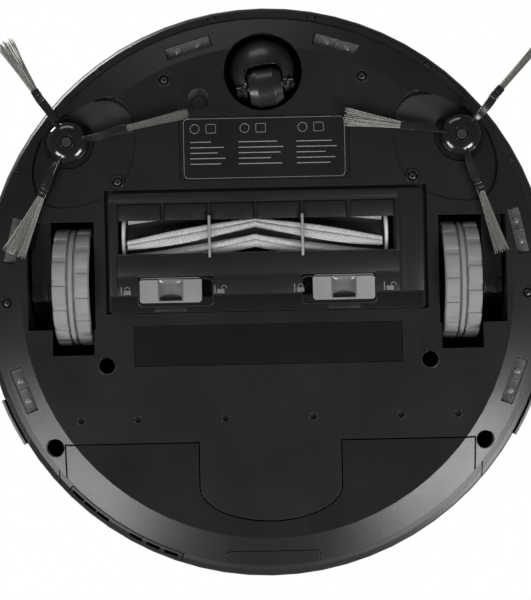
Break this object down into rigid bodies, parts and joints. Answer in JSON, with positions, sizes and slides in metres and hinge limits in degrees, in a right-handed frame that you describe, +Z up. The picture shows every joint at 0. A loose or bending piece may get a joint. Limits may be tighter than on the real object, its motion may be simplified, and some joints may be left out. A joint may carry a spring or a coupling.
{
  "type": "robot vacuum",
  "caption": "Round floor-cleaning robot with side brushes, drive wheels, swivelling caster, covered main brush, lift-out dust bin, rear water tank and spinning laser turret.",
  "frame": {"origin": "on the floor under the middle of the round body", "axes": "+Z up, the bumper faces -Y, the water tank is at +Y, +X is the robot's own left"},
  "size_m": [0.362, 0.362, 0.1035],
  "materials": {
    "shell_black": "fine spark texture, satin",
    "gloss_black": "polished",
    "grey_plastic": "satin",
    "dark_plastic": "moulded, satin",
    "smoked_plastic": "smoked, polished",
    "grey_rubber": "moulded rubber tread",
    "black_rubber": "matt rubber and bristle",
    "contact_steel": "plain strip",
    "board": "lacquered board",
    "cell_wrap": "shrink film",
    "filter_white": "pleated filter paper",
    "label": "printed label"
  },
  "bodies": {
    "chassis": {"lower_shell": "shell_black", "upper_shell": "shell_black", "exhaust_grille": "shell_black", "battery_pack": "cell_wrap", "main_board": "board", "wheel_housing_right": "dark_plastic", "wheel_housing_left": "dark_plastic", "side_brush_motor_right": "dark_plastic", "side_brush_motor_left": "dark_plastic", "brush_bay": "dark_plastic", "brush_motor": "dark_plastic", "bin_bay": "dark_plastic", "fan_housing": "dark_plastic", "lidar_base": "dark_plastic", "lidar_cap": "gloss_black", "cliff_lens_front_right": "smoked_plastic", "cliff_lens_front_left": "smoked_plastic", "cliff_lens_side_right": "smoked_plastic", "cliff_lens_side_left": "smoked_plastic", "cliff_lens_rear_right": "smoked_plastic", "cliff_lens_rear_left": "smoked_plastic", "charging_contact_right": "contact_steel", "charging_contact_left": "contact_steel", "floor_sensor": "grey_plastic", "label_plate": "label", "floor_strip": "shell_black"},
    "bumper": {"bumper": "shell_black", "bumper_window": "smoked_plastic"},
    "wheel_arm_right": {"wheel_arm_right": "gloss_black"},
    "wheel_arm_left": {"wheel_arm_left": "gloss_black"},
    "wheel_right": {"wheel_rim_right": "dark_plastic", "wheel_tyre_right": "grey_rubber"},
    "wheel_left": {"wheel_rim_left": "dark_plastic", "wheel_tyre_left": "grey_rubber"},
    "caster_swivel": {"caster_swivel": "gloss_black", "caster_axle": "contact_steel"},
    "caster_roller": {"caster_roller": "black_rubber"},
    "side_brush_right": {"side_brush_right": "black_rubber"},
    "side_brush_left": {"side_brush_left": "black_rubber"},
    "main_brush": {"main_brush": "black_rubber"},
    "brush_guard": {"brush_guard": "shell_black"},
    "guard_latch_right": {"guard_latch_right": "grey_plastic"},
    "guard_latch_left": {"guard_latch_left": "grey_plastic"},
    "dust_bin": {"dust_bin": "smoked_plastic", "bin_filter": "filter_white"},
    "bin_lid": {"bin_lid": "gloss_black"},
    "bin_handle": {"bin_handle": "grey_plastic"},
    "inlet_flap": {"inlet_flap": "black_rubber"},
    "fan_impeller": {"fan_impeller": "grey_plastic"},
    "lidar_rotor": {"lidar_rotor": "gloss_black"},
    "lidar_pulley": {"lidar_pulley": "grey_plastic"},
    "start_button": {"start_button": "grey_plastic"},
    "reset_button": {"reset_button": "grey_plastic"},
    "power_switch": {"power_switch": "grey_plastic"},
    "water_tank": {"water_tank": "shell_black", "tank_lid": "dark_plastic", "fill_plug": "black_rubber"},
    "tank_latch": {"tank_latch": "shell_black"}
  },
  "joints": [
    {"name": "bumper_press", "type": "slide", "parent": "chassis", "child": "bumper", "axis": [0, 1, 0], "range_m": [0, 0.003], "stiffness_N_per_m": 600, "springref_m": -0.004},
    {"name": "suspension_right", "type": "hinge", "parent": "chassis", "child": "wheel_arm_right", "pos_m": [-0.1413, -0.05, 0.025], "axis": [-1, 0, 0], "range_deg": [0, 31], "stiffness_Nm_per_rad": 0.25, "springref_deg": 60},
    {"name": "wheel_spin_right", "type": "hinge", "parent": "wheel_arm_right", "child": "wheel_right", "pos_m": [-0.1215, -0.006, 0.03736], "axis": [1, 0, 0], "continuous": true},
    {"name": "side_brush_spin_right", "type": "hinge", "parent": "chassis", "child": "side_brush_right", "pos_m": [-0.122, -0.0953, 0.008], "axis": [0, 0, 1], "continuous": true},
    {"name": "suspension_left", "type": "hinge", "parent": "chassis", "child": "wheel_arm_left", "pos_m": [0.1413, -0.05, 0.025], "axis": [-1, 0, 0], "range_deg": [0, 31], "stiffness_Nm_per_rad": 0.25, "springref_deg": 60},
    {"name": "wheel_spin_left", "type": "hinge", "parent": "wheel_arm_left", "child": "wheel_left", "pos_m": [0.1215, -0.006, 0.03736], "axis": [1, 0, 0], "continuous": true},
    {"name": "side_brush_spin_left", "type": "hinge", "parent": "chassis", "child": "side_brush_left", "pos_m": [0.122, -0.0953, 0.008], "axis": [0, 0, 1], "continuous": true},
    {"name": "caster_swivel_turn", "type": "hinge", "parent": "chassis", "child": "caster_swivel", "pos_m": [0, -0.1374, 0.03], "axis": [0, 0, 1], "continuous": true},
    {"name": "caster_roll", "type": "hinge", "parent": "caster_swivel", "child": "caster_roller", "pos_m": [0.00149, -0.12751, 0.0119], "axis": [0.9888, -0.1494, 0], "continuous": true},
    {"name": "main_brush_spin", "type": "hinge", "parent": "chassis", "child": "main_brush", "pos_m": [-0.006, -0.0365, 0.0302], "axis": [1, 0, 0], "continuous": true},
    {"name": "guard_lift_off", "type": "slide", "parent": "chassis", "child": "brush_guard", "axis": [0, 0, -1], "range_m": [0, 0.03]},
    {"name": "guard_latch_slide_right", "type": "slide", "parent": "brush_guard", "child": "guard_latch_right", "axis": [1, 0, 0], "range_m": [0, 0.006], "stiffness_N_per_m": 150, "springref_m": -0.003},
    {"name": "guard_latch_slide_left", "type": "slide", "parent": "brush_guard", "child": "guard_latch_left", "axis": [-1, 0, 0], "range_m": [0, 0.006], "stiffness_N_per_m": 150, "springref_m": -0.003},
    {"name": "dust_bin_lift", "type": "slide", "parent": "chassis", "child": "dust_bin", "axis": [0, 0, 1], "range_m": [0, 0.09]},
    {"name": "bin_lid_hinge", "type": "hinge", "parent": "dust_bin", "child": "bin_lid", "pos_m": [0, 0.0245, 0.0826], "axis": [-1, 0, 0], "range_deg": [0, 95]},
    {"name": "bin_handle_hinge", "type": "hinge", "parent": "dust_bin", "child": "bin_handle", "pos_m": [0, 0.0388, 0.0828], "axis": [-1, 0, 0], "range_deg": [0, 90]},
    {"name": "inlet_flap_swing", "type": "hinge", "parent": "dust_bin", "child": "inlet_flap", "pos_m": [-0.003, -0.0049, 0.051], "axis": [1, 0, 0], "range_deg": [0, 60]},
    {"name": "fan_spin", "type": "hinge", "parent": "chassis", "child": "fan_impeller", "pos_m": [-0.047, 0.091, 0.045], "axis": [0, 0, 1], "continuous": true},
    {"name": "lidar_spin", "type": "hinge", "parent": "chassis", "child": "lidar_rotor", "pos_m": [0, 0.096, 0.09], "axis": [0, 0, 1], "continuous": true},
    {"name": "lidar_pulley_spin", "type": "hinge", "parent": "chassis", "child": "lidar_pulley", "pos_m": [0.0258, 0.11407, 0.09], "axis": [0, 0, 1], "continuous": true},
    {"name": "start_button_press", "type": "slide", "parent": "chassis", "child": "start_button", "axis": [0, 0, -1], "range_m": [0, 0.0012], "stiffness_N_per_m": 400, "springref_m": -0.001},
    {"name": "reset_button_press", "type": "slide", "parent": "chassis", "child": "reset_button", "axis": [0, 0, -1], "range_m": [0, 0.0012], "stiffness_N_per_m": 300, "springref_m": -0.001},
    {"name": "power_switch_rock", "type": "hinge", "parent": "chassis", "child": "power_switch", "pos_m": [0.11313, 0.13482, 0.06], "axis": [0, 0, 1], "range_deg": [0, 14]},
    {"name": "water_tank_slide", "type": "slide", "parent": "chassis", "child": "water_tank", "axis": [0, 1, 0], "range_m": [0, 0.1]},
    {"name": "tank_latch_press", "type": "slide", "parent": "water_tank", "child": "tank_latch", "axis": [0, 0, 1], "range_m": [0, 0.0025], "stiffness_N_per_m": 400, "springref_m": -0.003}
  ],
  "couplings": [
    {"joint": "lidar_pulley_spin", "follows": "lidar_spin", "ratio": 4}
  ]
}
